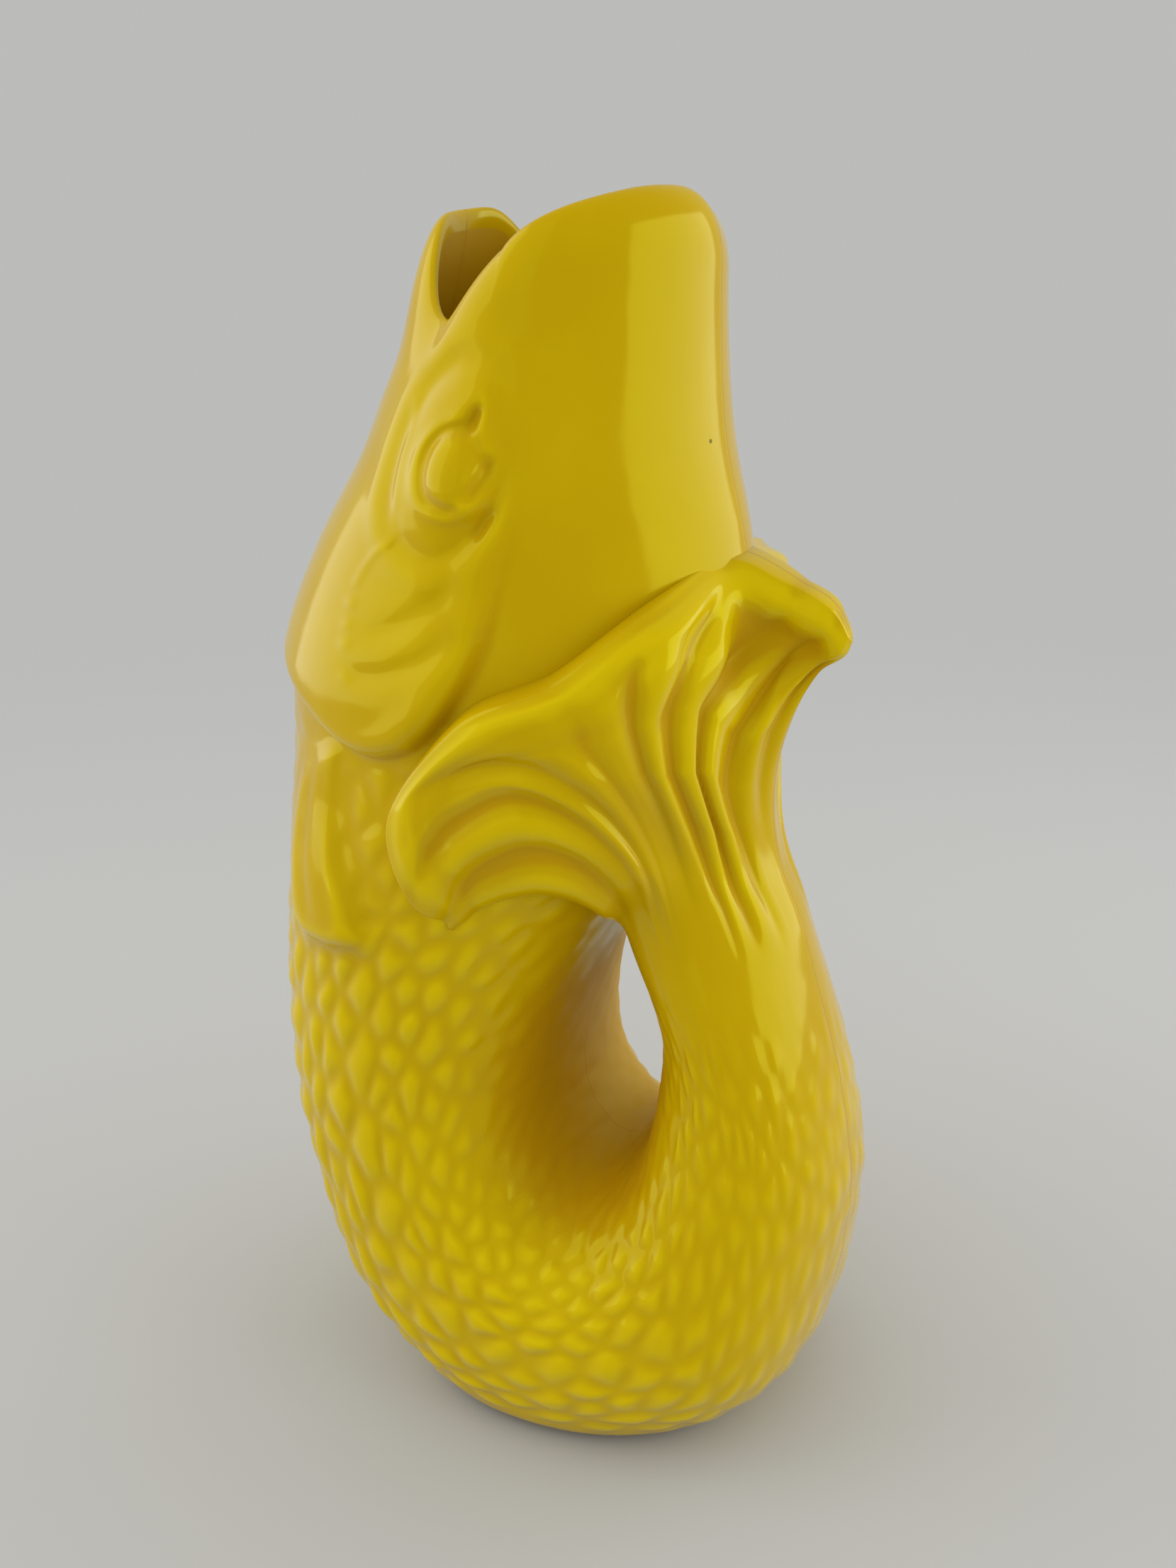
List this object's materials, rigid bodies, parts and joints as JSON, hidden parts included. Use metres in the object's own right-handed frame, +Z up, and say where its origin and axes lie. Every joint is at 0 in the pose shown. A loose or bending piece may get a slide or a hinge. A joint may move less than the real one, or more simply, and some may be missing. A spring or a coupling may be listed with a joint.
{
  "type": "fish carafe",
  "caption": "Hollow glazed ceramic carafe shaped as a fish: it stands on its curled body, pours from its mouth and is held by its looped tail.",
  "frame": {"origin": "on the table, in the middle of the carafe's outline seen from above", "axes": "+Z up, +X towards the tail handle, -X towards the fish's throat, the XZ plane is the plane of symmetry"},
  "size_m": [0.1568, 0.1212, 0.3137],
  "materials": {
    "yellow_glaze": null,
    "bare_clay": null
  },
  "bodies": {
    "root": {"head_shell": "yellow_glaze", "body_shell": "yellow_glaze", "tail_shell": "yellow_glaze", "tail_fin": "yellow_glaze", "gill_cover_left": "yellow_glaze", "gill_cover_right": "yellow_glaze", "eye_left": "yellow_glaze", "eye_right": "yellow_glaze", "pectoral_fin_left": "yellow_glaze", "pectoral_fin_right": "yellow_glaze", "foot_ring": "bare_clay"}
  },
  "joints": []
}
